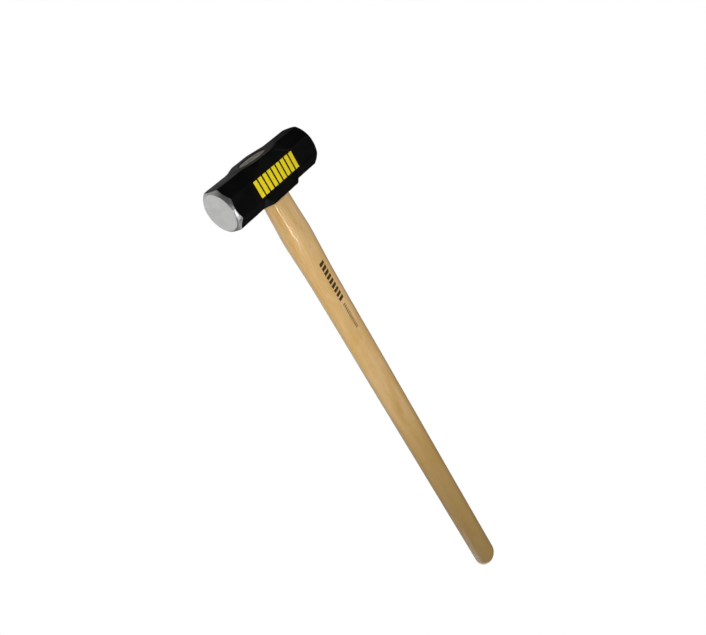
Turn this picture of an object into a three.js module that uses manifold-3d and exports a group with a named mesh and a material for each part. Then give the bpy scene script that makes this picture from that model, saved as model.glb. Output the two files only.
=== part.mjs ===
// A double-faced sledge hammer with a straight hickory handle, in millimetres.
//
// The hammer stands on the eye side of its head, as sledge hammers are stood:
//   +Z runs up the handle, from the head to the butt
//   +X runs along the head, towards the front striking face
//   the origin is the centre of the eye-side facet, on the floor.
//
// Five solids hold each other together: the forged head, the handle whose tongue fills the eye,
// the wooden wedge that spreads the tongue, and two steel wedges driven across the wooden one.

import * as THREE from 'three';
import { mergeVertices } from 'three/addons/utils/BufferGeometryUtils.js';
import Module from 'manifold-3d';

const wasm = await Module();
wasm.setup();

// ---------------------------------------------------------------- driving dimensions

const overallLength = 914;      // eye-side facet to the end of the butt
const touchGap = 0.3;           // clearance between pieces that bear on each other

// head
const headLength = 172;         // over both striking faces
const headHeight = 57;          // eye-side facet to underside
const headWidth = 59.2;         // cheek to cheek
const chamferLeg = 15.1;        // corner cut that makes the rectangle an octagon, near the faces
const cornerLeg = 1.7;          // what is left of the cut beside the eye, where the section is full
const octagonTurn = Math.PI / 4; // turn at each corner of the section
const forgedRadius = 2.5;       // rounding along the long edges
const faceRadius = 26.4;        // flat disc of a striking face
const faceBevelAngle = 43;      // degrees, from the plane of the striking face

// distances from the eye's centre where the corner cuts begin and where they are full: long and soft
// along the eye side, short and steep along the underside
const eyeSideRunOut = { begin: 11.6, full: 42 };
const undersideRunOut = { begin: 24, full: 36.5 };

// eye: an oval hole with an hourglass profile, long axis along the head
const eyeWaist = { x: 19.5, y: 12.5 };      // half axes at the narrowest
const eyeTop = { x: 23.8, y: 14.8 };        // half axes at the eye-side facet
const eyeMouth = { x: 21.4, y: 14.8 };      // half axes at the underside, where the handle enters
const eyeWaistHeight = headHeight * 0.55;
const recess = 1;               // the tongue and wedges end this far inside the eye

// handle: an oval stick, its long axis along the head; half lengths of that axis up from the floor
const sectionRatio = 1.3;       // long axis over short axis
const shoulderStart = headHeight + touchGap;
const shoulderLip = 2;          // height over which the tongue steps out to the shoulder
const handleStations = [
  { z: shoulderStart + shoulderLip, halfX: 22.3 },
  { z: 80, halfX: 23.2 },
  { z: 118, halfX: 24.5 },
  { z: 160, halfX: 23.4 },
  { z: 215, halfX: 22.6 },
  { z: 400, halfX: 23.1 },
  { z: 640, halfX: 23.2 },
  { z: 899, halfX: 23.5 },
];
const buttFlat = 0.55;          // share of the section that stays flat at the very end

// wedges, their thick ends at the eye-side facet
const woodWedge = { depth: 38, thick: 6.5, tip: 1.6, span: 2 * eyeTop.x + 4 };
const steelWedge = { depth: 24, thick: 3, tip: 0.8, span: 19, fromCentre: 11.5 };

// fineness of the curved surfaces, and how far a cutter runs out past what it cuts
const ovalSegments = 40;
const eyeSteps = 12;
const shaftSteps = 42;
const buttSteps = 7;
const runOutSteps = 16;
const faceSegments = 72;
const cutOverrun = 5;

// ---------------------------------------------------------------- solids and booleans

// A closed body through a list of rings, each a list of Vector3 with the same number of points.
function loft(rings) {
  const count = rings[0].length;
  const points = rings.flat();
  const index = [];
  for (let r = 0; r < rings.length - 1; r += 1) {
    for (let i = 0; i < count; i += 1) {
      const a = r * count + i;
      const b = r * count + (i + 1) % count;
      index.push(a, b, b + count);
      index.push(a, b + count, a + count);
    }
  }
  const capCentre = (ring) => {
    const centre = ring.reduce((sum, point) => sum.add(point), new THREE.Vector3());
    return centre.divideScalar(count);
  };
  const lastRing = (rings.length - 1) * count;
  const firstCentre = points.push(capCentre(rings[0])) - 1;
  const lastCentre = points.push(capCentre(rings.at(-1))) - 1;
  for (let i = 0; i < count; i += 1) {
    const next = (i + 1) % count;
    index.push(firstCentre, next, i);
    index.push(lastCentre, lastRing + i, lastRing + next);
  }
  const geometry = new THREE.BufferGeometry().setFromPoints(points);
  geometry.setIndex(index);
  return geometry;
}

function toSolid(geometry) {
  const bare = geometry.clone();
  bare.deleteAttribute('normal');
  bare.deleteAttribute('uv');
  const merged = mergeVertices(bare);
  return new wasm.Manifold(new wasm.Mesh({
    numProp: 3,
    vertProperties: new Float32Array(merged.attributes.position.array),
    triVerts: new Uint32Array(merged.index.array),
  }));
}

function toGeometry(solid) {
  const mesh = solid.getMesh();
  const geometry = new THREE.BufferGeometry();
  geometry.setAttribute('position', new THREE.BufferAttribute(mesh.vertProperties, 3));
  geometry.setIndex(new THREE.BufferAttribute(mesh.triVerts, 1));
  return geometry;
}

function meshOf(name, solid, material) {
  const geometry = toGeometry(solid);
  geometry.computeVertexNormals();
  const mesh = new THREE.Mesh(geometry, material);
  mesh.name = name;
  return mesh;
}

// ---------------------------------------------------------------- sections

// Oval ring across the Z axis, anticlockwise seen from +Z.
function ovalRing(z, halfX, halfY) {
  const ring = [];
  for (let i = 0; i < ovalSegments; i += 1) {
    const angle = (i / ovalSegments) * 2 * Math.PI;
    ring.push(new THREE.Vector3(halfX * Math.cos(angle), halfY * Math.sin(angle), z));
  }
  return ring;
}

// Size of the corner cut at a distance along the head.
function cornerCutAt(x, runOut) {
  const share = THREE.MathUtils.smoothstep(Math.abs(x), runOut.begin, runOut.full);
  return THREE.MathUtils.lerp(cornerLeg, chamferLeg, share);
}

// Octagon ring across the X axis, its long edges rounded, anticlockwise seen from +X.
function octagonRing(x) {
  const halfWidth = headWidth / 2;
  const eyeSide = cornerCutAt(x, eyeSideRunOut);
  const underside = cornerCutAt(x, undersideRunOut);
  const halfOutline = [
    [halfWidth - eyeSide, 0], [halfWidth, eyeSide],
    [halfWidth, headHeight - underside], [halfWidth - underside, headHeight],
  ];
  const otherHalf = halfOutline.map(([y, z]) => [-y, z]).reverse();
  const corners = [...halfOutline, ...otherHalf].map(([y, z]) => new THREE.Vector2(y, z));
  const setBack = forgedRadius * Math.tan(octagonTurn / 2);
  const ring = [];
  corners.forEach((corner, i) => {
    const before = corners.at(i - 1).clone().sub(corner).normalize();
    const after = corners[(i + 1) % corners.length].clone().sub(corner).normalize();
    const start = corner.clone().addScaledVector(before, setBack);
    const end = corner.clone().addScaledVector(after, setBack);
    const arc = new THREE.QuadraticBezierCurve(start, corner, end);
    arc.getPoints(2).forEach((point) => ring.push(new THREE.Vector3(x, point.x, point.y)));
  });
  return ring;
}

// Ring of the eye's wall at a height, flaring from the waist to either end. grow is negative for the
// tongue, which stays clear of the wall.
function eyeRing(z, grow) {
  const end = z < eyeWaistHeight ? eyeTop : eyeMouth;
  const span = z < eyeWaistHeight ? eyeWaistHeight : headHeight - eyeWaistHeight;
  const share = Math.abs(z - eyeWaistHeight) / span;
  const flare = share * share;
  const halfX = THREE.MathUtils.lerp(eyeWaist.x, end.x, flare) + grow;
  const halfY = THREE.MathUtils.lerp(eyeWaist.y, end.y, flare) + grow;
  return ovalRing(z, halfX, halfY);
}

// ---------------------------------------------------------------- head

function headStock() {
  const halfLength = headLength / 2;
  const right = [halfLength];
  for (let i = 0; i <= runOutSteps; i += 1) {
    right.push(THREE.MathUtils.lerp(eyeSideRunOut.full, eyeSideRunOut.begin, i / runOutSteps));
  }
  const left = right.map((x) => -x);
  return toSolid(loft([...left, ...right.reverse()].map(octagonRing)));
}

// A turned blank about X: its flat ends and bevels are what grinding leaves of the octagon's ends.
function groundEnvelope() {
  const halfLength = headLength / 2;
  const outerRadius = headWidth;
  const bevelRun = (outerRadius - faceRadius) * Math.tan(THREE.MathUtils.degToRad(faceBevelAngle));
  const profile = [
    new THREE.Vector2(0, -halfLength),
    new THREE.Vector2(faceRadius, -halfLength),
    new THREE.Vector2(outerRadius, bevelRun - halfLength),
    new THREE.Vector2(outerRadius, halfLength - bevelRun),
    new THREE.Vector2(faceRadius, halfLength),
    new THREE.Vector2(0, halfLength),
  ];
  const turned = new THREE.LatheGeometry(profile, faceSegments);
  turned.rotateZ(-Math.PI / 2);
  turned.translate(0, 0, headHeight / 2);
  return toSolid(turned);
}

function eyeHole() {
  const rings = [ovalRing(-cutOverrun, eyeTop.x, eyeTop.y)];
  for (let i = 0; i <= eyeSteps; i += 1) {
    rings.push(eyeRing((i / eyeSteps) * headHeight, 0));
  }
  rings.push(ovalRing(headHeight + cutOverrun, eyeMouth.x, eyeMouth.y));
  return toSolid(loft(rings));
}

function makeHead() {
  return headStock().intersect(groundEnvelope()).subtract(eyeHole());
}

// ---------------------------------------------------------------- handle and wedges

function tongueRings() {
  const rings = [];
  for (let i = 0; i <= eyeSteps; i += 1) {
    rings.push(eyeRing(recess + (i / eyeSteps) * (headHeight - recess), -touchGap));
  }
  return rings;
}

function shaftRings() {
  const profile = new THREE.CatmullRomCurve3(
    handleStations.map((station) => new THREE.Vector3(station.halfX, 0, station.z)),
    false,
    'catmullrom',
  );
  const lipX = eyeMouth.x - touchGap;
  const lipY = eyeMouth.y - touchGap;
  const rings = [ovalRing(shoulderStart, lipX, lipY)];
  profile.getPoints(shaftSteps).forEach((point) => {
    rings.push(ovalRing(point.z, point.x, point.x / sectionRatio));
  });
  return rings;
}

// The butt: a quarter-oval roll-off from the shaft to a small flat.
function buttRings() {
  const last = handleStations.at(-1);
  const rollLength = overallLength - last.z;
  const rings = [];
  for (let i = 1; i <= buttSteps; i += 1) {
    const angle = (i / buttSteps) * Math.PI / 2;
    const halfX = last.halfX * THREE.MathUtils.lerp(1, buttFlat, 1 - Math.cos(angle));
    const z = last.z + rollLength * Math.sin(angle);
    rings.push(ovalRing(z, halfX, halfX / sectionRatio));
  }
  return rings;
}

// A tapered plate driven up from the eye-side facet. It lies along X, or across it when acrossHead is
// true. A cutter is the same plate grown by the gap all round and run out past the facet.
function wedgePlate(wedge, acrossHead, grow) {
  const ringAt = (z, thickness) => {
    const halfThick = thickness / 2 + grow;
    const halfSpan = wedge.span / 2 + grow;
    const halfX = acrossHead ? halfThick : halfSpan;
    const halfY = acrossHead ? halfSpan : halfThick;
    return [[halfX, halfY], [-halfX, halfY], [-halfX, -halfY], [halfX, -halfY]]
      .map(([x, y]) => new THREE.Vector3(x, y, z));
  };
  const startZ = grow > 0 ? recess - cutOverrun : recess;
  return toSolid(loft([ringAt(startZ, wedge.thick), ringAt(recess + wedge.depth + grow, wedge.tip)]));
}

function steelWedgeAt(side, grow) {
  return wedgePlate(steelWedge, true, grow).translate([side * steelWedge.fromCentre, 0, 0]);
}

function makeHandle() {
  return toSolid(loft([...tongueRings(), ...shaftRings(), ...buttRings()]))
    .subtract(wedgePlate(woodWedge, false, touchGap))
    .subtract(steelWedgeAt(1, touchGap))
    .subtract(steelWedgeAt(-1, touchGap));
}

// The wooden wedge is trimmed to the tongue's outline and cut by the steel wedges that split it.
function makeWoodenWedge() {
  return wedgePlate(woodWedge, false, 0)
    .intersect(toSolid(loft(tongueRings())))
    .subtract(steelWedgeAt(1, touchGap))
    .subtract(steelWedgeAt(-1, touchGap));
}

// ---------------------------------------------------------------- materials and assembly

const blackEnamel = () => new THREE.MeshStandardMaterial({ color: 0x131414, roughness: 0.35, metalness: 0.1 });
const hickory = () => new THREE.MeshStandardMaterial({ color: 0xc9a468, roughness: 0.45, metalness: 0 });
const wedgeWood = () => new THREE.MeshStandardMaterial({ color: 0xa98450, roughness: 0.7, metalness: 0 });
const wedgeSteel = () => new THREE.MeshStandardMaterial({ color: 0x8b8d8f, roughness: 0.5, metalness: 0.9 });

const hammer = new THREE.Group();
hammer.add(meshOf('head', makeHead(), blackEnamel()));
hammer.add(meshOf('handle', makeHandle(), hickory()));
hammer.add(meshOf('wooden_wedge', makeWoodenWedge(), wedgeWood()));
hammer.add(meshOf('steel_wedge_front', steelWedgeAt(1, 0), wedgeSteel()));
hammer.add(meshOf('steel_wedge_rear', steelWedgeAt(-1, 0), wedgeSteel()));

export default hammer;
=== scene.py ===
"""A double-faced sledge hammer with a hickory handle, standing on the eye side of its head.

Finely meshed pieces stand for the CAD's head, handle and three wedges, and printed marks are added to them.
Everything is in metres, in the CAD model's frame: +Z runs up the handle and +X along the head.
"""

import math

import bmesh
import bpy
import numpy as np
from mathutils import Matrix, Vector, noise


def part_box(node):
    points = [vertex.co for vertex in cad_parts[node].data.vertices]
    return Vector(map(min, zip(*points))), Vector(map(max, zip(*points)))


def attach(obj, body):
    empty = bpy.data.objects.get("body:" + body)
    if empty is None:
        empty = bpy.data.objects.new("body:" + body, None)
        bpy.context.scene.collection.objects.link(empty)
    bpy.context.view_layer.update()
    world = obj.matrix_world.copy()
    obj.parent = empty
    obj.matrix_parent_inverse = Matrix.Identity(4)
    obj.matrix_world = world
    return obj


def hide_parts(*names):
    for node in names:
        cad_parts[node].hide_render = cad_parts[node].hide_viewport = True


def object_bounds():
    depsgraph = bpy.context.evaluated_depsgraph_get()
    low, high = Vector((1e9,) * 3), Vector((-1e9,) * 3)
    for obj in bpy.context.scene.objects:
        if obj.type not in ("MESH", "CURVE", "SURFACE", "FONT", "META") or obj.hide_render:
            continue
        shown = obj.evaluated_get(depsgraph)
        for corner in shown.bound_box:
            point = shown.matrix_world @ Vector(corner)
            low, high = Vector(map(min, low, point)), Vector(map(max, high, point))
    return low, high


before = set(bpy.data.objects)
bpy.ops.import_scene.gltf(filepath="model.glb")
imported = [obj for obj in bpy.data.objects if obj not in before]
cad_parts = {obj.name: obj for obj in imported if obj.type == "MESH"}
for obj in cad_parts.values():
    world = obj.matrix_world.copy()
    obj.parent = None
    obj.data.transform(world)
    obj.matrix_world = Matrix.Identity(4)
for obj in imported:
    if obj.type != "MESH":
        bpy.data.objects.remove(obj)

MM = 0.001
CAD_LOW, CAD_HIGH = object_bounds()

# ------------------------------------------------------------------ sizes, from the frame

HEAD_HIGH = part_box("head")[1]
HALF_LENGTH = HEAD_HIGH.x
HEIGHT = HEAD_HIGH.z
MID_HEIGHT = HEIGHT / 2
HALF_WIDTH = HEAD_HIGH.y
TONGUE_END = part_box("handle")[0].z  # how far the tongue stops short of the eye-side facet
OVERALL = CAD_HIGH.z

# the head's section and its ends, as in the CAD model
CHAMFER = 15.1 * MM                 # corner cut towards the striking faces
CORNER_CUT = 1.7 * MM               # what is left of it beside the eye
FORGED_RADIUS = 2.5 * MM
FACE_RADIUS = 26.4 * MM
BEVEL_SLOPE = math.tan(math.radians(43))
EYE_SIDE_RUN = (11.6 * MM, 42 * MM)  # where the eye side's corner cuts start, and are full
UNDERSIDE_RUN = (24 * MM, 36.5 * MM)

# the eye and the tongue that fills it: half axes along X and Y
EYE_TOP = Vector((23.8, 14.8)) * MM
EYE_WAIST = Vector((19.5, 12.5)) * MM
EYE_MOUTH = Vector((21.4, 14.8)) * MM
WAIST_HEIGHT = HEIGHT * 0.55
EYE_RIM = 1.4 * MM
TOUCH_GAP = 0.3 * MM


# ------------------------------------------------------------------ small helpers

def smoothstep(value, low=0.0, high=1.0):
    share = min(max((value - low) / (high - low), 0.0), 1.0)
    return share * share * (3 - 2 * share)


def lerp(a, b, share):
    return a + (b - a) * share


def arc_points(before, corner, after, steps):
    """Points that round a corner off, from the point before it to the point after it."""
    points = []
    for i in range(steps + 1):
        t = i / steps
        points.append(before * (1 - t) ** 2 + corner * (2 * t * (1 - t)) + after * t ** 2)
    return points


def oval_ring(z, half_x, half_y, count):
    angles = [2 * math.pi * i / count for i in range(count)]
    return [Vector((half_x * math.cos(a), half_y * math.sin(a), z)) for a in angles]


def mesh_from_rings(name, rings, ground_rings=0):
    """A closed body through rings with the same number of points, its ends closed by a fan.

    The faces among the first and the last ground_rings rings take the second material.
    """
    count = len(rings[0])
    points = [Vector(point) for ring in rings for point in ring]
    faces = []
    ground = []
    last = len(rings) - 1
    for r in range(last):
        for i in range(count):
            a = r * count + i
            b = r * count + (i + 1) % count
            faces.append((a, b, b + count, a + count))
            ground.append(r < ground_rings or r >= last - ground_rings)
    for ring_index in (0, last):
        points.append(sum((Vector(p) for p in rings[ring_index]), Vector()) / count)
        centre = len(points) - 1
        for i in range(count):
            a = ring_index * count + i
            b = ring_index * count + (i + 1) % count
            faces.append((centre, a, b))
            ground.append(ground_rings > 0)
    mesh = bpy.data.meshes.new(name)
    mesh.from_pydata([tuple(p) for p in points], [], faces)
    mesh.polygons.foreach_set("material_index", [int(g) for g in ground])
    obj = bpy.data.objects.new(name, mesh)
    bpy.context.scene.collection.objects.link(obj)
    work = bmesh.new()
    work.from_mesh(mesh)
    bmesh.ops.recalc_face_normals(work, faces=work.faces)
    work.to_mesh(mesh)
    work.free()
    return obj


def cut_away(obj, cutter):
    """Subtracts the cutter from obj for good, and removes the cutter."""
    modifier = obj.modifiers.new("cut", "BOOLEAN")
    modifier.operation = "DIFFERENCE"
    modifier.solver = "EXACT"
    modifier.object = cutter
    evaluated = obj.evaluated_get(bpy.context.evaluated_depsgraph_get())
    result = bpy.data.meshes.new_from_object(evaluated)
    obj.modifiers.clear()
    obj.data = result
    bpy.data.objects.remove(cutter)


def smooth_with_edges(obj, angle):
    """Smooth shading that keeps the edges sharper than angle, in degrees."""
    obj.data.shade_smooth()
    obj.data.set_sharp_from_angle(angle=math.radians(angle))
    weighted = obj.modifiers.new("even shading", "WEIGHTED_NORMAL")
    weighted.keep_sharp = True
    weighted.weight = 80


def stand_for(obj, node):
    """The piece rides on the one body, in place of the CAD node."""
    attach(obj, "root")
    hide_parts(node)


# ------------------------------------------------------------------ shader helpers

class Shader:
    """A material with one Principled BSDF, and short calls that add and join its nodes."""

    def __init__(self, name):
        self.material = bpy.data.materials.new(name)
        self.material.use_nodes = True
        self.tree = self.material.node_tree
        self.surface = self.tree.nodes["Principled BSDF"]
        self.place = self.node("ShaderNodeTexCoord").outputs["Object"]

    def node(self, kind, **settings):
        made = self.tree.nodes.new(kind)
        for key, value in settings.items():
            setattr(made, key, value)
        return made

    def feed(self, socket, value):
        if isinstance(value, bpy.types.NodeSocket):
            self.tree.links.new(value, socket)
        else:
            socket.default_value = value

    def stretched(self, scale, turn=(0, 0, 0)):
        """The object's coordinates scaled per axis, so that patterns run along one, and then turned."""
        mapping = self.node("ShaderNodeMapping")
        self.feed(mapping.inputs["Vector"], self.place)
        mapping.inputs["Scale"].default_value = scale
        mapping.inputs["Rotation"].default_value = turn
        return mapping.outputs["Vector"]

    def noise(self, vector, scale, detail=3.0, roughness=0.5, distortion=0.0):
        made = self.node("ShaderNodeTexNoise")
        self.feed(made.inputs["Vector"], vector)
        made.inputs["Scale"].default_value = scale
        made.inputs["Detail"].default_value = detail
        made.inputs["Roughness"].default_value = roughness
        made.inputs["Distortion"].default_value = distortion
        return made.outputs["Fac"]

    def math(self, operation, a, b=0.0, c=0.0):
        made = self.node("ShaderNodeMath", operation=operation)
        for socket, value in zip(made.inputs, (a, b, c)):
            self.feed(socket, value)
        return made.outputs[0]

    def distance(self, x, y):
        """The length of (x, y)."""
        squares = [self.math("MULTIPLY", value, value) for value in (x, y)]
        return self.math("SQRT", self.math("ADD", *squares))

    def ramp(self, value, low, high, to_low=0.0, to_high=1.0):
        """Goes smoothly from to_low at low to to_high at high."""
        made = self.node("ShaderNodeMapRange", interpolation_type="SMOOTHSTEP")
        for key, number in (("Value", value), ("From Min", low), ("From Max", high),
                            ("To Min", to_low), ("To Max", to_high)):
            self.feed(made.inputs[key], number)
        return made.outputs["Result"]

    def blend(self, share, a, b):
        """Mixes two colours, given as sockets or as linear (r, g, b)."""
        made = self.node("ShaderNodeMix", data_type="RGBA")
        colours = [socket for socket in made.inputs if socket.type == "RGBA"]
        self.feed(made.inputs["Factor"], share)
        for socket, value in zip(colours, (a, b)):
            self.feed(socket, (*value, 1.0) if isinstance(value, tuple) else value)
        return next(socket for socket in made.outputs if socket.type == "RGBA")

    def axis(self, name):
        """One axis of the object's coordinates, in metres."""
        made = self.node("ShaderNodeSeparateXYZ")
        self.feed(made.inputs[0], self.place)
        return made.outputs[name]

    def bump(self, *layers):
        """Adds up bump layers, each (height socket, depth in metres, strength)."""
        normal = None
        for height, depth, strength in layers:
            made = self.node("ShaderNodeBump")
            made.inputs["Strength"].default_value = strength
            made.inputs["Distance"].default_value = depth
            self.feed(made.inputs["Height"], height)
            if normal is not None:
                self.feed(made.inputs["Normal"], normal)
            normal = made.outputs["Normal"]
        self.feed(self.surface.inputs["Normal"], normal)

    def set(self, **values):
        for key, value in values.items():
            self.feed(self.surface.inputs[key.replace("_", " ")], value)


def linear(red, green, blue):
    """A colour named by its usual 0 to 255 display values, as linear light."""
    def one(value):
        share = value / 255
        return share / 12.92 if share <= 0.04045 else ((share + 0.055) / 1.055) ** 2.4
    return (one(red), one(green), one(blue))


# ------------------------------------------------------------------ materials

GRINDING_TURN = (math.radians(18), 0, 0)    # turns of the noise under the grinding marks and
SCRATCH_TURN = (math.radians(-52), 0, 0)    # the scratches, so that the two don't coincide

RING_PITCH = 3.4 * MM               # growth rings of the hickory
PITH_OFFSET = (55 * MM, 30 * MM)    # from the pith to the handle's axis, at the head
PITH_LEAN = (0.035, -0.02)          # and its change per unit of height
RING_WANDER = 7 * MM
DARKER_TONE_AND_SHADE = (420 * MM, 600 * MM)    # darker between these heights: partly the wood's own tone, partly painted shade where the light falls off towards the butt
SHEEN_SIDE = (0.55, 0.83)             # the way from the axis to the pale band of painted sheen, a painted reflection
SHEEN_RUN = (12 * MM, 18 * MM)        # how far out the painted sheen starts, and is full
SHEEN_WANDER = 4 * MM
BUTT_STAIN = (9 * MM, 1 * MM)       # below the butt's end: where its stain starts, and is full
TONGUE_SPRAY = (2.5 * MM, 0.2 * MM)  # above the tongue's end: where the spray starts, and is full


def black_enamel():
    """Semi-gloss enamel over forged scale, a little dusty, and chipped in a few small places."""
    shader = Shader("black_enamel")
    orange_peel = shader.noise(shader.place, 650, detail=2)
    scale_pits = shader.noise(shader.place, 170, detail=5, roughness=0.6)
    drips = shader.noise(shader.place, 42, detail=3)

    rubbed = shader.noise(shader.place, 320, detail=6, roughness=0.7)
    worn_place = shader.noise(shader.place, 24, detail=2)
    chip = shader.math("MULTIPLY", shader.ramp(rubbed, 0.70, 0.73), shader.ramp(worn_place, 0.60, 0.68))

    dusty = shader.blend(shader.ramp(drips, 0.35, 0.7), linear(7, 9, 8), linear(13, 14, 12))
    shader.set(
        Base_Color=shader.blend(chip, dusty, linear(120, 118, 112)),
        Metallic=chip,
        Roughness=shader.ramp(drips, 0.3, 0.7, 0.40, 0.50),
        IOR=1.18,
    )
    shader.bump((drips, 0.5 * MM, 0.25), (scale_pits, 0.12 * MM, 0.35), (orange_peel, 0.03 * MM, 0.4))
    return shader.material


def ground_steel():
    """Bright ground steel: fine grinding marks along Y, a few deeper scratches and a faint stain."""
    shader = Shader("ground_steel")
    fine = shader.noise(shader.stretched((1, 60, 3000), GRINDING_TURN), 1.0, detail=4)
    wide = shader.noise(shader.stretched((1, 14, 700), GRINDING_TURN), 1.0, detail=2)
    scratch_field = shader.noise(shader.stretched((1, 25, 1600), SCRATCH_TURN), 1.0, detail=1)
    scratches = shader.ramp(scratch_field, 0.70, 0.76)
    stain = shader.noise(shader.place, 60, detail=4, distortion=0.6)

    grey = shader.blend(shader.ramp(stain, 0.35, 0.75), linear(214, 214, 212), linear(203, 203, 200))
    lined = shader.blend(shader.ramp(fine, 0.3, 0.7, 0.0, 0.3), grey, linear(186, 186, 185))
    shader.set(
        Base_Color=shader.blend(scratches, lined, linear(232, 232, 230)),
        Metallic=1.0,
        Roughness=shader.ramp(wide, 0.3, 0.7, 0.40, 0.46),
    )
    shader.bump((wide, 0.006 * MM, 0.3), (fine, 0.004 * MM, 0.5), (scratches, 0.01 * MM, 0.4))
    return shader.material


def growth_phase(shader, x, y, z, wander):
    """How far through its growth ring a place lies: rings about a leaning pith, bent by a slow wander."""
    off_x = shader.math("ADD", x, shader.math("MULTIPLY_ADD", z, PITH_LEAN[0], PITH_OFFSET[0]))
    off_y = shader.math("ADD", y, shader.math("MULTIPLY_ADD", z, PITH_LEAN[1], PITH_OFFSET[1]))
    bent = shader.math("MULTIPLY_ADD", wander, RING_WANDER, shader.distance(off_x, off_y))
    return shader.math("FRACT", shader.math("MULTIPLY", bent, 1 / RING_PITCH))


def plain_hickory(shader, x, y, z, wander):
    """The wood's colour under its lines: banded, cloudy, darker towards the butt (partly its own tone,
    partly painted shade) and paler up one side (painted sheen).
    """
    bands = shader.noise(shader.stretched((1, 1, 0.03)), 120, detail=3)
    clouds = shader.noise(shader.stretched((1, 1, 0.3)), 38, detail=5, roughness=0.6, distortion=0.8)
    banded = shader.blend(shader.ramp(bands, 0.25, 0.75), linear(214, 180, 122), linear(204, 166, 107))
    cloudy = shader.blend(shader.ramp(clouds, 0.35, 0.65), linear(218, 184, 134), linear(201, 161, 94))
    base = shader.blend(0.6, banded, cloudy)
    # darker towards the butt: partly the wood's own tone, partly painted shade of the light's falloff
    toned_and_shaded = shader.blend(shader.ramp(z, *DARKER_TONE_AND_SHADE, 0.0, 0.6), base, linear(184, 149, 74))

    # paler up one side: painted sheen, a painted reflection of the bright surroundings along that limb
    toward_sheen = [shader.math("MULTIPLY", value, share) for value, share in zip((x, y), SHEEN_SIDE)]
    wavy_sheen_side = shader.math("MULTIPLY_ADD", wander, SHEEN_WANDER, shader.math("ADD", *toward_sheen))
    return shader.blend(shader.ramp(wavy_sheen_side, *SHEEN_RUN, 0.0, 0.6), toned_and_shaded, linear(212, 188, 156))


def finished_ends(shader, colour, z, butt):
    """Darkens the butt, which drinks the finish, and greys the tongue's end, which the spray reached."""
    worn = shader.blend(shader.math("MULTIPLY", butt, 0.45), colour, linear(128, 92, 56))
    spray = shader.ramp(z, TONGUE_END + TONGUE_SPRAY[0], TONGUE_END + TONGUE_SPRAY[1])
    mottle = shader.ramp(shader.noise(shader.place, 260, detail=5), 0.34, 0.66)
    misted = shader.blend(mottle, linear(238, 236, 222), linear(186, 184, 175))
    return shader.blend(shader.math("MULTIPLY", spray, 0.85), worn, misted)


def hickory():
    """Lacquered hickory: slanting growth rings, straight fibres, tan flecks and short dark pores."""
    shader = Shader("hickory")
    x, y, z = (shader.axis(name) for name in "XYZ")
    wander = shader.noise(shader.stretched((1, 1, 0.12)), 22, detail=2)
    ring_phase = growth_phase(shader, x, y, z, wander)
    late_wood = shader.ramp(ring_phase, 0.45, 0.98)
    fibres = shader.noise(shader.stretched((1, 1, 0.02)), 900, detail=4, roughness=0.6)
    flecks = shader.ramp(shader.noise(shader.stretched((1, 1, 0.15)), 80, detail=4), 0.58, 0.75)
    pore_field = shader.noise(shader.stretched((1, 1, 0.035)), 1500, detail=2)
    pores = shader.math("MULTIPLY", shader.ramp(pore_field, 0.64, 0.72),
                        shader.ramp(ring_phase, 0.75, 0.15, 0.25, 1.0))

    deep = linear(170, 126, 74)
    plain = plain_hickory(shader, x, y, z, wander)
    ringed = shader.blend(shader.math("MULTIPLY", late_wood, 0.16), plain, deep)
    fibred = shader.blend(shader.ramp(fibres, 0.35, 0.8, 0.0, 0.25), ringed, deep)
    flecked = shader.blend(shader.math("MULTIPLY", flecks, 0.35), fibred, linear(176, 134, 82))
    pored = shader.blend(shader.math("MULTIPLY", pores, 0.5), flecked, linear(112, 76, 42))

    butt = shader.ramp(z, OVERALL - BUTT_STAIN[0], OVERALL - BUTT_STAIN[1])
    shader.set(
        Base_Color=finished_ends(shader, pored, z, butt),
        Roughness=shader.ramp(fibres, 0.3, 0.8, 0.36, 0.50),
        Coat_Weight=0.35,
        Coat_Roughness=0.22,
    )
    # fibres and pores aren't felt on the butt, where the grain ends
    long_grain = shader.math("SUBTRACT", 1.0, butt)
    shader.bump((late_wood, 0.05 * MM, 0.25),
                (shader.math("MULTIPLY", fibres, long_grain), 0.03 * MM, 0.3),
                (shader.math("MULTIPLY", pores, long_grain), 0.04 * MM, -0.4))
    return shader.material


def wedge_wood():
    """End grain of the driven wedge, crushed by the hammer and greyed by the enamel's spray."""
    shader = Shader("wedge_wood")
    rings = shader.noise(shader.stretched((1, 7, 1)), 260, detail=3)
    crushed = shader.noise(shader.place, 700, detail=4)
    spray = shader.ramp(shader.noise(shader.place, 240, detail=4), 0.38, 0.64)
    wood = shader.blend(shader.ramp(rings, 0.3, 0.7), linear(196, 176, 136), linear(160, 134, 96))
    shader.set(
        Base_Color=shader.blend(shader.math("MULTIPLY", spray, 0.8), wood, linear(128, 126, 118)),
        Roughness=0.75,
    )
    shader.bump((crushed, 0.15 * MM, 0.6), (rings, 0.1 * MM, 0.4))
    return shader.material


def wedge_steel():
    """Dull mild steel with hammer marks and a little rust."""
    shader = Shader("wedge_steel")
    marks = shader.noise(shader.place, 500, detail=4)
    rust = shader.ramp(shader.noise(shader.place, 330, detail=5), 0.58, 0.76)
    shader.set(
        Base_Color=shader.blend(rust, linear(172, 172, 170), linear(128, 108, 84)),
        Metallic=shader.math("SUBTRACT", 1.0, rust),
        Roughness=shader.ramp(marks, 0.3, 0.7, 0.35, 0.6),
    )
    shader.bump((marks, 0.08 * MM, 0.5))
    return shader.material


def printed_ink(name, colour, patchy_colour, roughness):
    """Screen-printed ink, a little uneven, over the surface below."""
    shader = Shader(name)
    thin = shader.noise(shader.place, 900, detail=4)
    broad = shader.noise(shader.place, 90, detail=2)
    patches = shader.math("MULTIPLY", shader.ramp(thin, 0.45, 0.75), shader.ramp(broad, 0.3, 0.7))
    shader.set(Base_Color=shader.blend(patches, colour, patchy_colour), Roughness=roughness)
    shader.bump((thin, 0.02 * MM, 0.3))
    return shader.material


# ------------------------------------------------------------------ head

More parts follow.
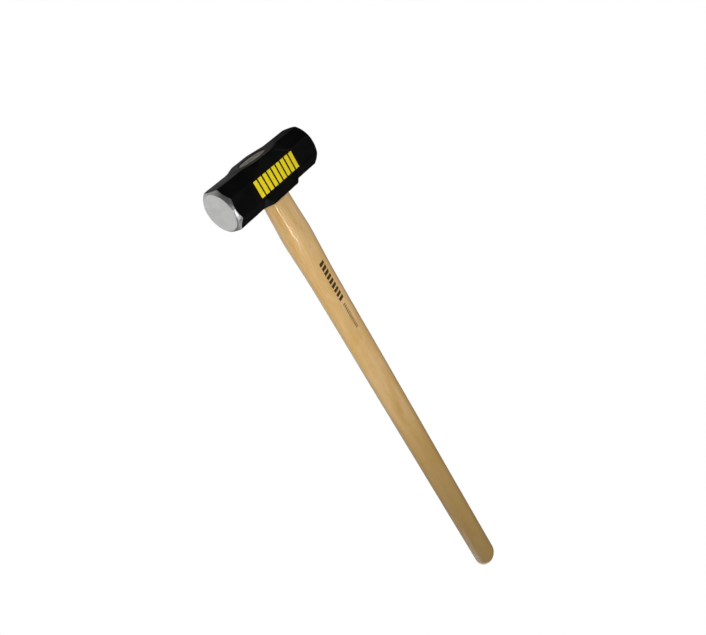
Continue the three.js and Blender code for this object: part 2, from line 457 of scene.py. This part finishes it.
FLAT_STEPS = 12                 # points along each flat of the octagon
CORNER_STEPS = 6                # points round each forged corner
HALF_TURN = math.radians(22.5)  # half of a regular octagon's turn at a corner
LONGEST_SET_BACK = 0.45         # share of the shorter flat beside a corner
STOCK_STEP = 1.4 * MM           # spacing of the stations along the stock
END_ZONE = 8.5 * MM             # length at each end where grinding shapes the outline
PAINT_LINE_ROUND = 0.7 * MM
FACE_EDGE_ROUND = 0.6 * MM
EDGE_STEPS = 3
FACE_CROWN = 0.3 * MM
BEVEL_RINGS = 4
FACE_RINGS = 14
PAINTED_END_RINGS = 3           # rings of each end that the enamel still covers, up to the ground edge

# the forging's unevenness, in millimetres: dents about a mean depth that keeps every bulge inside
BROAD_DENT = 0.12
HAMMERED_DENT = 0.04
MEAN_DENT = BROAD_DENT + HAMMERED_DENT
BROAD_SIZE = 17 * MM
HAMMERED_SIZE = 6 * MM
HAMMERED_SHIFT = Vector((3, 5, 7))  # so that the two patterns don't line up

# the cutter for the eye; the sines say how far its rounded rim has turned outwards
EYE_STEPS = 64
EYE_POINTS = 128
EYE_OVERRUN = 4 * MM
RIM_DEPTHS = (0.25, 0.5, 0.75, 1.0, 1.3, 1.7)   # millimetres below a facet, for extra rings
SINE_AT_FACET = 0.85
LARGEST_SINE = 0.97


def corner_cut_at(x, run):
    """Size of the corner cut at a distance along the head: it runs out towards the eye."""
    return lerp(CORNER_CUT, CHAMFER, smoothstep(abs(x), *run))


def forged(x, y, z):
    """Depth of the forging's unevenness at a place, always inwards of the nominal surface."""
    place = Vector((x, y, z))
    broad = noise.noise(place / BROAD_SIZE)
    hammered = noise.noise(place / HAMMERED_SIZE + HAMMERED_SHIFT)
    return (MEAN_DENT + BROAD_DENT * broad + HAMMERED_DENT * hammered) * MM


def stock_outline(x):
    """Points (y, z) round the octagonal bar at a distance along the head."""
    eye_side = corner_cut_at(x, EYE_SIDE_RUN)
    underside = corner_cut_at(x, UNDERSIDE_RUN)
    half = [(HALF_WIDTH - eye_side, 0), (HALF_WIDTH, eye_side),
            (HALF_WIDTH, HEIGHT - underside), (HALF_WIDTH - underside, HEIGHT)]
    corners = [Vector(p) for p in half] + [Vector((-y, z)) for y, z in reversed(half)]
    points = []
    for i, corner in enumerate(corners):
        before = corners[i - 1]
        after = corners[(i + 1) % len(corners)]
        nearest = min((before - corner).length, (after - corner).length)
        set_back = min(FORGED_RADIUS * math.tan(HALF_TURN) * 2, nearest * LONGEST_SET_BACK)
        start = corner + (before - corner).normalized() * set_back
        end = corner + (after - corner).normalized() * set_back
        next_start = after + (corner - after).normalized() * set_back
        points += arc_points(start, corner, end, CORNER_STEPS)
        points += [end.lerp(next_start, s / FLAT_STEPS) for s in range(1, FLAT_STEPS)]
    return points


def stock_ring(x):
    """The bar's outline at x as points in space, with the forging's unevenness pressed in."""
    outline = stock_outline(x)
    count = len(outline)
    ring = []
    for i, point in enumerate(outline):
        along = outline[(i + 1) % count] - outline[i - 1]
        inward = Vector((-along.y, along.x)).normalized()
        moved = point + inward * forged(x, point.x, point.y)
        ring.append(Vector((x, moved.x, moved.y)))
    return ring


def ground_end_profile(start, side):
    """Points from one point of the bar's last station, over the bevel, in towards the face's centre."""
    outward = Vector((0, start.y, start.z - MID_HEIGHT))
    radius = outward.length
    outward.normalize()
    rim_x = HALF_LENGTH - FACE_CROWN
    ground_back = (radius - FACE_RADIUS) * BEVEL_SLOPE

    def at(x, r):
        return Vector((side * x, 0, MID_HEIGHT)) + outward * r

    paint_line = at(rim_x - ground_back, radius)
    face_edge = at(rim_x, FACE_RADIUS)
    along_bar = (start - paint_line).normalized()
    along_bevel = (face_edge - paint_line).normalized()
    bevel_start = paint_line + along_bevel * PAINT_LINE_ROUND
    bevel_end = face_edge - along_bevel * FACE_EDGE_ROUND

    points = [start.lerp(paint_line, 0.45)]     # one ring about halfway to the paint line
    points += arc_points(paint_line + along_bar * PAINT_LINE_ROUND, paint_line, bevel_start, EDGE_STEPS)
    points += [bevel_start.lerp(bevel_end, i / BEVEL_RINGS) for i in range(1, BEVEL_RINGS)]
    points += arc_points(bevel_end, face_edge, face_edge - outward * FACE_EDGE_ROUND, EDGE_STEPS)
    for i in range(1, FACE_RINGS):
        share = 1 - i / FACE_RINGS
        crown = FACE_CROWN * (1 - share * share)
        points.append(at(rim_x + crown, (FACE_RADIUS - FACE_EDGE_ROUND) * share))
    return points


def ground_end_rings(side):
    """Rings from the last station of the bar to the middle of a striking face."""
    last_station = stock_ring(side * (HALF_LENGTH - END_ZONE))
    profiles = [ground_end_profile(start, side) for start in last_station]
    return [list(ring) for ring in zip(*profiles)]


def eye_half_axes(z):
    """Half axes of the eye's wall at a height, flaring from the waist to either end."""
    end = EYE_TOP if z < WAIST_HEIGHT else EYE_MOUTH
    span = WAIST_HEIGHT if z < WAIST_HEIGHT else HEIGHT - WAIST_HEIGHT
    flare = (min(abs(z - WAIST_HEIGHT) / span, 1.0)) ** 2
    return EYE_WAIST.lerp(end, flare)


def rim_flare(z):
    """How far the eye's rounded rim widens it at a height, a little more past the facets."""
    depth = min(z, HEIGHT - z)
    sine = min(max(1 - depth / EYE_RIM, 0.0) * SINE_AT_FACET, LARGEST_SINE)
    return EYE_RIM * (1 - math.cos(math.asin(sine)))


def eye_cutter():
    """The eye as a solid plug, with its two rims rounded over."""
    low, high = -EYE_OVERRUN, HEIGHT + EYE_OVERRUN
    heights = [lerp(low, high, i / EYE_STEPS) for i in range(EYE_STEPS + 1)]
    for rim_depth in RIM_DEPTHS:
        heights += [rim_depth * MM, HEIGHT - rim_depth * MM]
    rings = []
    for z in sorted(heights):
        half = eye_half_axes(z)
        flare = rim_flare(z)
        rings.append(oval_ring(z, half.x + flare, half.y + flare, EYE_POINTS))
    return mesh_from_rings("eye_cutter", rings)


def make_head():
    first = -(HALF_LENGTH - END_ZONE)
    steps = round(-2 * first / STOCK_STEP)
    bar = [stock_ring(lerp(first, -first, i / steps)) for i in range(steps + 1)]
    rear = ground_end_rings(-1)
    front = ground_end_rings(1)
    ground_rings = len(front) - PAINTED_END_RINGS
    head = mesh_from_rings("sledge_head", [*reversed(rear), *bar, *front], ground_rings)
    head.data.materials.append(black_enamel())
    head.data.materials.append(ground_steel())
    cut_away(head, eye_cutter())
    smooth_with_edges(head, 50)
    stand_for(head, "head")
    return head


# ------------------------------------------------------------------ handle

HANDLE_POINTS = 96
HANDLE_STEP = 3.2 * MM
TONGUE_STEPS = 40
TONGUE_CHAMFER = 0.5 * MM
BUTT_LENGTH = 15 * MM       # the rounded end, which keeps the CAD shaft's own rings
BUTT_INSET = 0.05 * MM
SOFTENING = 12 * MM         # reach of the smoothing between the CAD shaft's rings
UNSMOOTHED = 2.5 * MM       # height of the shaft's foot, which keeps its own shape
SHAFT_INSET = 0.14 * MM     # keeps the uneven shaft inside the CAD shaft
SHAFT_UNEVENNESS = 0.12 * MM
SHAFT_WAVE = 60 * MM        # size of that unevenness along the shaft
ARRIS_TOP = 122 * MM        # the shoulder's four soft arrises die out at this height
ARRIS_FADE = 30 * MM
SHAVED_DEPTH = 0.65 * MM    # what was shaved off between two arrises
ARRIS_WIDTH = 0.12          # radians


def shaft_profile():
    """(heights, half sizes along X, half sizes along Y) of the CAD shaft, from its own rings."""
    sizes = {}
    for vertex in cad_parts["handle"].data.vertices:
        if vertex.co.z > HEIGHT:
            key = round(vertex.co.z, 5)
            x, y = sizes.get(key, (0.0, 0.0))
            sizes[key] = (max(x, abs(vertex.co.x)), max(y, abs(vertex.co.y)))
    heights = sorted(sizes)
    return heights, [sizes[h][0] for h in heights], [sizes[h][1] for h in heights]


def shaved_at(angle, z):
    """Depth shaved off the shoulder's oval between its four arrises, which lie on its diagonals."""
    share = 1 - smoothstep(z, ARRIS_TOP - ARRIS_FADE, ARRIS_TOP)
    from_arris = abs(angle % (math.pi / 2) - math.pi / 4)
    return SHAVED_DEPTH * share * (1 - math.exp(-from_arris / ARRIS_WIDTH))


def shaft_ring(z, half_x, half_y):
    ring = []
    for point in oval_ring(z, half_x, half_y, HANDLE_POINTS):
        angle = math.atan2(point.y / half_y, point.x / half_x)
        place = Vector((math.cos(angle), math.sin(angle), z / SHAFT_WAVE))
        uneven = noise.noise(place) * SHAFT_UNEVENNESS
        grow = 1 + (uneven - SHAFT_INSET - shaved_at(angle, z)) / half_x
        ring.append(Vector((point.x * grow, point.y * grow, z)))
    return ring


def tongue_rings():
    """The handle inside the head: it fills the eye but for the touch gap, and its end is chamfered."""
    rings = []
    for i in range(TONGUE_STEPS + 1):
        z = lerp(TONGUE_END, HEIGHT, i / TONGUE_STEPS)
        half = eye_half_axes(z)
        tuck = TOUCH_GAP + TONGUE_CHAMFER * max(1 - (z - TONGUE_END) / TONGUE_CHAMFER, 0)
        rings.append(oval_ring(z, half.x - tuck, half.y - tuck, HANDLE_POINTS))
    return rings


def shaft_rings():
    """The handle from the head up: the CAD shaft's sizes, smoothed between its rings."""
    heights, half_x, half_y = shaft_profile()
    butt_start = OVERALL - BUTT_LENGTH
    stations = list(np.arange(heights[0], butt_start, HANDLE_STEP))
    stations += [h - BUTT_INSET for h in heights if h >= butt_start]
    rings = []
    for z in stations:
        room = min(z - heights[0] - UNSMOOTHED, butt_start - z)
        spread = min(max(room, 0), SOFTENING)
        samples = [z - spread, z - spread / 2, z, z + spread / 2, z + spread]
        mean_x = float(np.mean(np.interp(samples, heights, half_x)))
        mean_y = float(np.mean(np.interp(samples, heights, half_y)))
        rings.append(shaft_ring(float(z), mean_x, mean_y))
    last = rings[-1]
    for share in (0.8, 0.55, 0.3, 0.12):    # across the butt's end
        rings.append([Vector((p.x * share, p.y * share, p.z)) for p in last])
    return rings


def make_handle():
    handle = mesh_from_rings("hickory_handle", tongue_rings() + shaft_rings())
    for node in ("wooden_wedge", "steel_wedge_front", "steel_wedge_rear"):
        cut_away(handle, wedge_slot(node))
    handle.data.materials.clear()
    handle.data.materials.append(hickory())
    smooth_with_edges(handle, 40)
    handle.visible_glossy = False   # satin enamel blurs the handle's reflection away
    stand_for(handle, "handle")
    return handle


# ------------------------------------------------------------------ wedges

WEDGE_TIP = {"wooden_wedge": 1.6 * MM, "steel_wedge_front": 0.8 * MM, "steel_wedge_rear": 0.8 * MM}
SLOT_OVERRUN = 3 * MM
BROKEN_EDGE = 0.2 * MM
LONGEST_EDGE = 1.5 * MM     # longer edges of a wedge's mesh are divided
BEATEN_DEPTH = 1.0 * MM     # how far from its driven end a wedge is dented
DENT_SIZE = 1.6 * MM


def wedge_slot(node):
    """A cutter the shape of a wedge, grown by the gap and run out past the tongue's end."""
    low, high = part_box(node)
    centre = (low + high) / 2
    size_x = high.x - low.x
    size_y = high.y - low.y
    driven = min(size_x, size_y)
    rings = []
    for z, thick in ((low.z - SLOT_OVERRUN, driven), (low.z, driven), (high.z + TOUCH_GAP, WEDGE_TIP[node])):
        half_x = half_y = thick / 2 + TOUCH_GAP
        if size_x > size_y:
            half_x = size_x / 2 + TOUCH_GAP + SLOT_OVERRUN
        else:
            half_y = size_y / 2 + TOUCH_GAP
        rings.append([centre.xy.to_3d() + Vector((sx * half_x, sy * half_y, z))
                      for sx, sy in ((1, 1), (-1, 1), (-1, -1), (1, -1))])
    return mesh_from_rings("slot_" + node, rings)


def detailed_wedge(node, name, material, crush):
    """A copy of the CAD wedge with its edges broken and its driven end beaten uneven."""
    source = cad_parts[node]
    wedge = bpy.data.objects.new(name, source.data.copy())
    bpy.context.scene.collection.objects.link(wedge)
    wedge.data.materials.clear()
    wedge.data.materials.append(material)
    work = bmesh.new()
    work.from_mesh(wedge.data)
    bmesh.ops.remove_doubles(work, verts=work.verts, dist=1e-6)
    bmesh.ops.dissolve_limit(work, angle_limit=math.radians(1), verts=work.verts, edges=work.edges)
    sharp = [e for e in work.edges if e.is_manifold and e.calc_face_angle(0) > math.radians(35)]
    bmesh.ops.bevel(work, geom=sharp, offset=BROKEN_EDGE, segments=2, affect="EDGES", clamp_overlap=True)
    bmesh.ops.triangulate(work, faces=work.faces)
    long_edges = [e for e in work.edges if e.calc_length() > LONGEST_EDGE]
    bmesh.ops.subdivide_edges(work, edges=long_edges, cuts=2, use_grid_fill=True)
    driven_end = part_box(node)[0].z
    for vertex in work.verts:
        depth = vertex.co.z - driven_end
        if depth < BEATEN_DEPTH:
            dent = 0.5 + 0.5 * noise.noise(vertex.co / DENT_SIZE)
            vertex.co.z += crush * dent * (1 - depth / BEATEN_DEPTH)
    work.to_mesh(wedge.data)
    work.free()
    smooth_with_edges(wedge, 35)
    stand_for(wedge, node)
    return wedge


# ------------------------------------------------------------------ printed marks

PRINT_THICKNESS = 0.06 * MM
PRINT_SUNK = 0.02 * MM      # the plates' undersides lie this far below the surface
SHAFT_MARK_INSET = 0.1 * MM  # from the CAD shaft to the surface that carries the marks
PATCH_ACROSS = 6            # divisions of a patch
PATCH_DOWN = 10


def patch_grid(work, corners, surface, lift):
    """Vertices of a four-cornered patch, lifted off its surface."""
    first, second, third, fourth = (Vector(corner) for corner in corners)
    grid = []
    for i in range(PATCH_ACROSS + 1):
        row = []
        for j in range(PATCH_DOWN + 1):
            start = first.lerp(second, i / PATCH_ACROSS)
            end = fourth.lerp(third, i / PATCH_ACROSS)
            point, out = surface(*start.lerp(end, j / PATCH_DOWN))
            row.append(work.verts.new(point + out * lift))
        grid.append(row)
    return grid


def add_plate(work, lower, upper):
    """The faces of a closed plate between two grids."""
    for i in range(PATCH_ACROSS):
        for j in range(PATCH_DOWN):
            work.faces.new((upper[i][j], upper[i + 1][j], upper[i + 1][j + 1], upper[i][j + 1]))
            work.faces.new((lower[i][j + 1], lower[i + 1][j + 1], lower[i + 1][j], lower[i][j]))
    rim = [(i, 0) for i in range(PATCH_ACROSS)]
    rim += [(PATCH_ACROSS, j) for j in range(PATCH_DOWN)]
    rim += [(i, PATCH_DOWN) for i in range(PATCH_ACROSS, 0, -1)]
    rim += [(0, j) for j in range(PATCH_DOWN, 0, -1)]
    for (i, j), (m, n) in zip(rim, rim[1:] + rim[:1]):
        work.faces.new((lower[i][j], lower[m][n], upper[m][n], upper[i][j]))


def printed_piece(name, patches, surface, material):
    """Thin closed plates that lie on a surface.

    A patch is four corners (u, v); surface(u, v) gives the point on the object and the way out of it.
    """
    work = bmesh.new()
    for corners in patches:
        lower = patch_grid(work, corners, surface, -PRINT_SUNK)
        upper = patch_grid(work, corners, surface, PRINT_THICKNESS)
        add_plate(work, lower, upper)
    bmesh.ops.recalc_face_normals(work, faces=work.faces)
    mesh = bpy.data.meshes.new(name)
    work.to_mesh(mesh)
    work.free()
    obj = bpy.data.objects.new(name, mesh)
    bpy.context.scene.collection.objects.link(obj)
    mesh.materials.append(material)
    mesh.shade_smooth()
    mesh.set_sharp_from_angle(angle=math.radians(50))
    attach(obj, "root")
    return obj


def slanted_bars(u_start, u_end, v_low, v_high, count, gap_share, slant):
    """Parallelograms side by side along u, leaning by slant, filling v_low to v_high."""
    pitch = (u_end - u_start) / count
    bars = []
    for i in range(count):
        a = u_start + i * pitch
        b = a + pitch * (1 - gap_share)
        bars.append(((a, v_low), (b, v_low), (b + slant, v_high), (a + slant, v_high)))
    return bars


def cheek_surface(x, z):
    """Point and outward direction on the cheek on the -Y side."""
    return Vector((x, forged(x, -HALF_WIDTH, z) - HALF_WIDTH, z)), Vector((0, -1, 0))


def make_head_mark():
    """A plain block of yellow bars on the near cheek."""
    half_height = 11.4 * MM
    bars = slanted_bars(40 * MM, -41.5 * MM, MID_HEIGHT - half_height, MID_HEIGHT + half_height,
                        count=9, gap_share=0.27, slant=0)
    ink = printed_ink("yellow_ink", linear(228, 206, 12), linear(206, 186, 8), 0.45)
    return printed_piece("head_print", bars, cheek_surface, ink)


def shaft_surface_maker():
    """A function of (z, x) that gives the point and the way out on the -Y side of the shaft."""
    heights, half_x, half_y = shaft_profile()

    def surface(z, x):
        a = float(np.interp(z, heights, half_x)) - SHAFT_MARK_INSET
        b = float(np.interp(z, heights, half_y)) - SHAFT_MARK_INSET
        angle = -math.acos(max(min(x / a, 1), -1))
        point = Vector((a * math.cos(angle), b * math.sin(angle), z))
        out = Vector((math.cos(angle) / a, math.sin(angle) / b, 0)).normalized()
        return point, out

    return surface


def make_handle_marks():
    """A row of dark branded bars up the near side of the handle, and a smaller, fainter row."""
    surface = shaft_surface_maker()
    bold = slanted_bars(166 * MM, 235 * MM, -3.5 * MM, 6 * MM, count=9, gap_share=0.35, slant=2 * MM)
    small = slanted_bars(241 * MM, 287 * MM, 0, 5 * MM, count=12, gap_share=0.45, slant=1 * MM)
    dark = printed_ink("branded_dark", linear(62, 48, 26), linear(92, 70, 38), 0.6)
    faint = printed_ink("branded_faint", linear(108, 84, 46), linear(140, 112, 66), 0.6)
    printed_piece("handle_print", bold, surface, dark)
    printed_piece("handle_small_print", small, surface, faint)


# ------------------------------------------------------------------ floor, light and camera

DIFFUSE_LIGHT = 0.265   # the world's strength for diffuse rays
MIRRORED_LIGHT = 0.06   # and for mirrored ones

# the camera's place, from the middle of the head, and its aim
CAMERA_AZIMUTH = math.radians(37.75)
CAMERA_ELEVATION = math.radians(-12.55)
CAMERA_DISTANCE = 792 * MM
CAMERA_ROLL = math.radians(149.83)
CAMERA_AIM = Vector((-7.75 * MM, -6.2 * MM, OVERALL * 0.3031))


def make_floor():
    """A pale floor just under the head, which fades into the white beyond.

    Seen from below, it isn't there.
    """
    bpy.ops.mesh.primitive_plane_add(size=OVERALL * 12, location=(0, 0, -0.5 * MM))
    floor = bpy.context.object
    floor.name = "floor"
    shader = Shader("pale_floor")
    distance = shader.distance(shader.axis("X"), shader.axis("Y"))
    shader.set(
        Base_Color=(0.88, 0.88, 0.87, 1),
        Roughness=0.9,
        Emission_Color=(1, 1, 1, 1),
        Emission_Strength=shader.ramp(distance, OVERALL, OVERALL * 4, 0.6, 1.0),
    )
    mix = shader.node("ShaderNodeMixShader")
    shader.feed(mix.inputs[0], shader.node("ShaderNodeNewGeometry").outputs["Backfacing"])
    shader.feed(mix.inputs[1], shader.surface.outputs[0])
    shader.feed(mix.inputs[2], shader.node("ShaderNodeBsdfTransparent").outputs[0])
    shader.feed(shader.tree.nodes["Material Output"].inputs["Surface"], mix.outputs[0])
    floor.data.materials.append(shader.material)
    floor.visible_diffuse = False
    floor.visible_glossy = False
    floor.visible_shadow = False
    return floor


def make_world():
    """White to the eye; to the hammer, soft even light, and darker surroundings to mirror."""
    world = bpy.data.worlds.new("studio")
    bpy.context.scene.world = world
    world.use_nodes = True
    tree = world.node_tree
    background = tree.nodes["Background"]
    path = tree.nodes.new("ShaderNodeLightPath")

    def choose(share, low, high):
        made = tree.nodes.new("ShaderNodeMix")
        made.data_type = "FLOAT"
        floats = [s for s in made.inputs if s.type == "VALUE"]
        tree.links.new(share, floats[0])
        for socket, value in zip(floats[1:], (low, high)):
            if isinstance(value, float):
                socket.default_value = value
            else:
                tree.links.new(value, socket)
        return made.outputs[0]

    lit = choose(path.outputs["Is Glossy Ray"], DIFFUSE_LIGHT, MIRRORED_LIGHT)
    seen = choose(path.outputs["Is Camera Ray"], lit, 1.0)
    background.inputs["Color"].default_value = (1, 1, 1, 1)
    tree.links.new(seen, background.inputs["Strength"])


def soft_light(name, place, aim, size, power, spread=180, mirrored=True, diffused=True):
    """A square area light at a place, facing a point; spread is the angle of its beam in degrees.

    A light that isn't mirrored gives diffuse light only, like one behind a large silk; one that
    isn't diffused gives a highlight only.
    """
    light = bpy.data.lights.new(name, "AREA")
    light.size = size
    light.energy = power
    light.spread = math.radians(spread)
    lamp = bpy.data.objects.new(name, light)
    bpy.context.scene.collection.objects.link(lamp)
    lamp.location = place
    lamp.rotation_euler = (Vector(aim) - Vector(place)).to_track_quat("-Z", "Y").to_euler()
    lamp.visible_camera = False
    lamp.visible_glossy = mirrored
    lamp.visible_diffuse = diffused
    return lamp


def panel(name, facing, direction, distance, size, power, spread=180):
    """An area light at a distance from a point of the head, in a direction, facing it."""
    place = facing + Vector(direction).normalized() * distance
    return soft_light(name, place, facing, size, power, spread)


def fill(name, place, height, size, power, spread=180):
    """An area light that faces the handle's axis at a height, and isn't mirrored."""
    return soft_light(name, place, (0, 0, height), size, power, spread, mirrored=False)


def keep_off(lamps, objects):
    """Light linking: none of the lamps lights any of the objects."""
    kept_off = bpy.data.collections.new("kept off")
    for index, obj in enumerate(objects):
        kept_off.objects.link(obj)
        kept_off.collection_objects[index].light_linking.link_state = "EXCLUDE"
    for lamp in lamps:
        lamp.light_linking.receiver_collection = kept_off


def make_lights(floor, head, handle):
    """Small lights for the hammer alone, which leave no pools on the floor, and one large one for both."""
    head_centre = Vector((0, 0, MID_HEIGHT))
    front_face = Vector((HALF_LENGTH, 0, MID_HEIGHT))
    rear_face = Vector((-HALF_LENGTH, 0, MID_HEIGHT))
    near_bevel = (HALF_LENGTH, -HALF_WIDTH / 2, MID_HEIGHT)

    keep_off([
        fill("front_fill", (0.25, -0.6, 0.22), 0.22, size=0.3, power=2.5, spread=160),
        fill("butt_fill", (-0.35, -0.5, 0.85), 0.85, size=0.3, power=0.6, spread=160),
        fill("side_fill", (0.65, 0.26, 0.2), 0.2, size=0.3, power=1.7, spread=160),
        panel("rear_face_panel", rear_face, (-0.9, -0.4, -0.1), 0.9, size=0.5, power=0.13, spread=60),
        fill("back_fill", (-0.25, 1.5, 0.9), OVERALL / 2, size=0.8, power=5),
        soft_light("back_card", (0.0, 1.3, 0.4), (0, 0, 0.4), size=1.5, power=2.4),
    ], [floor])
    keep_off([
        soft_light("key", (0.50, -0.265, 0.28), near_bevel, size=0.08, power=0.009, spread=20),
        panel("face_panel", front_face, (0.59, 0.77, 0.23), 0.8, size=0.5, power=0.096, spread=60),
        panel("eye_side_panel", head_centre, (-0.45, 0.87, -0.2), 0.8, size=0.4, power=0.03, spread=60),
        panel("end_panel", front_face, (1, 0.1, 0.15), 0.9, size=0.5, power=0.065, spread=60),
        panel("low_card", front_face, (0.25, 0.75, -0.5), 0.8, size=1.2, power=1.7),
    ], [floor, handle])
    keep_off([
        soft_light("arris_light", (0.28, -0.45, 0.228), (0, 0, 0.072),
                   size=0.09, power=0.015, spread=16, diffused=False),
    ], [floor, head])
    soft_light("top", (0.3, 0.25, 2.2), (0, 0, OVERALL / 2), size=1.0, power=6)


def make_camera():
    """Below and in front of the head, turned so that the handle runs down to the right."""
    from_head = Vector((math.sin(CAMERA_AZIMUTH) * math.cos(CAMERA_ELEVATION),
                        -math.cos(CAMERA_AZIMUTH) * math.cos(CAMERA_ELEVATION),
                        math.sin(CAMERA_ELEVATION)))
    place = Vector((0, 0, MID_HEIGHT)) + from_head * CAMERA_DISTANCE
    forward = (CAMERA_AIM - place).normalized()
    level_up = (Vector((0, 0, 1)) - forward * forward.z).normalized()
    side = forward.cross(level_up)
    up = level_up * math.cos(CAMERA_ROLL) - side * math.sin(CAMERA_ROLL)
    right = forward.cross(up)
    camera_data = bpy.data.cameras.new("camera")
    camera_data.sensor_width = 36
    camera_data.lens = 29.575
    camera_data.clip_start = 0.01
    camera = bpy.data.objects.new("camera", camera_data)
    bpy.context.scene.collection.objects.link(camera)
    turn = Matrix((right, up, -forward)).transposed()
    camera.matrix_world = Matrix.Translation(place) @ turn.to_4x4()
    bpy.context.scene.camera = camera


# ------------------------------------------------------------------ the whole scene

bpy.context.scene.view_settings.view_transform = "Standard"

make_camera()
make_world()
FLOOR = make_floor()

HEAD = make_head()
HANDLE = make_handle()
make_lights(FLOOR, HEAD, HANDLE)
WEDGE_STEEL = wedge_steel()
detailed_wedge("wooden_wedge", "oak_wedge", wedge_wood(), 0.35 * MM)
detailed_wedge("steel_wedge_front", "front_steel_wedge", WEDGE_STEEL, 0.2 * MM)
detailed_wedge("steel_wedge_rear", "rear_steel_wedge", WEDGE_STEEL, 0.2 * MM)
make_head_mark()
make_handle_marks()
